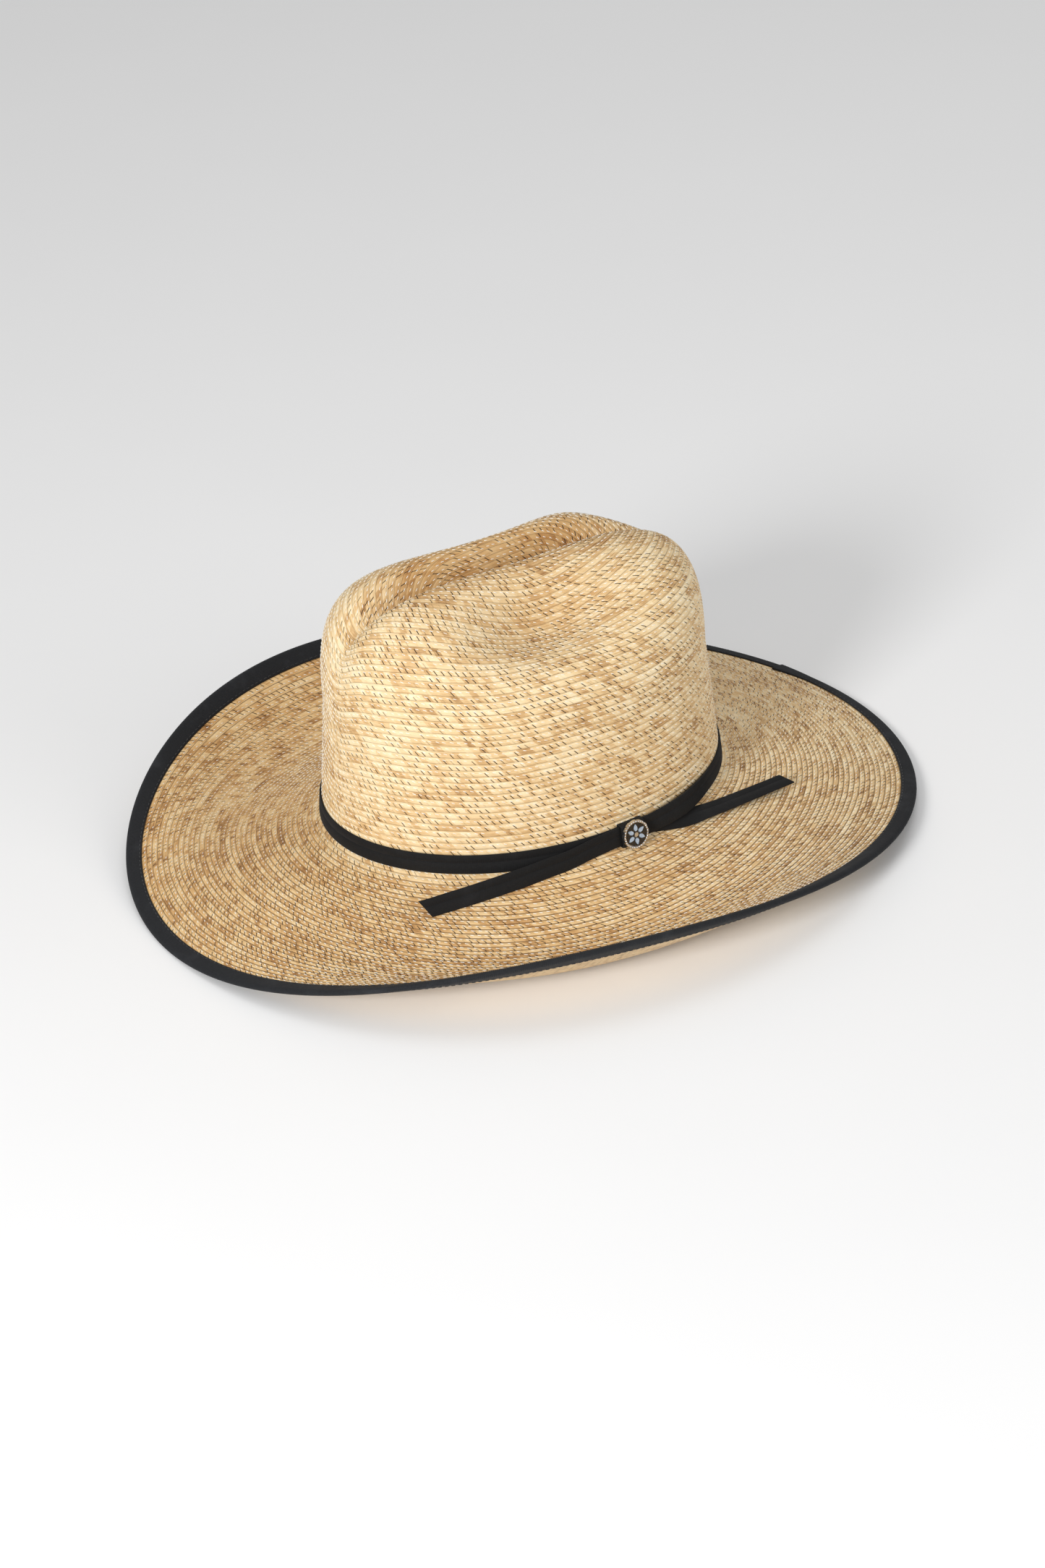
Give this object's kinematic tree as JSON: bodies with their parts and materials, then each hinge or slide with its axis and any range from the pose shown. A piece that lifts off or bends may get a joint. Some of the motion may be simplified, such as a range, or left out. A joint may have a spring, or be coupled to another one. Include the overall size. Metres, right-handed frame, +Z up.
{
  "type": "western straw hat",
  "caption": "Sewn-braid western straw hat: creased crown, rolled and bound brim, sweatband, and a ribbon band with loose tails held by a keeper under a small metal concho.",
  "frame": {"origin": "bottom centre of the hat, on the surface that its front and back brim rest on", "axes": "+Z up through the crown, -Y to the front of the hat, +X to the wearer's left, where the concho is"},
  "size_m": [0.3772, 0.417, 0.1569],
  "materials": {
    "straw": "sewn palm braid, matt with a slight sheen",
    "grosgrain": "ribbed ribbon",
    "black_thread": "matt",
    "wire": "plain",
    "sweatband_cloth": "matt",
    "white_cloth": "matt",
    "silver": "polished and lightly worn",
    "enamel": "gloss",
    "inlay": "gloss"
  },
  "bodies": {
    "hat": {"straw_body": "straw", "brim_binding": "grosgrain", "binding_thread_top": "black_thread", "binding_thread_under": "black_thread", "brim_wire": "wire", "brim_wire_ferrule": "wire", "sweatband": "sweatband_cloth", "sweatband_reed": "sweatband_cloth", "sweatband_seam_tape": "black_thread", "size_label": "white_cloth"},
    "hat_band": {"band_ribbon": "grosgrain", "band_keeper": "grosgrain"},
    "concho": {"concho_frame": "silver", "concho_enamel": "enamel", "concho_clutch": "silver", "concho_inlay_1": "inlay", "concho_inlay_2": "inlay", "concho_inlay_3": "inlay", "concho_inlay_4": "inlay", "concho_inlay_5": "inlay", "concho_inlay_6": "inlay"}
  },
  "joints": [
    {"name": "band_lift", "type": "slide", "parent": "hat", "child": "hat_band", "axis": [0, 0, 1], "range_m": [0, 0.15]},
    {"name": "concho_spin", "type": "hinge", "parent": "hat_band", "child": "concho", "pos_m": [0.09229, 0.01239, 0.03179], "axis": [0.9869, 0.0902, 0.1342], "continuous": true}
  ]
}
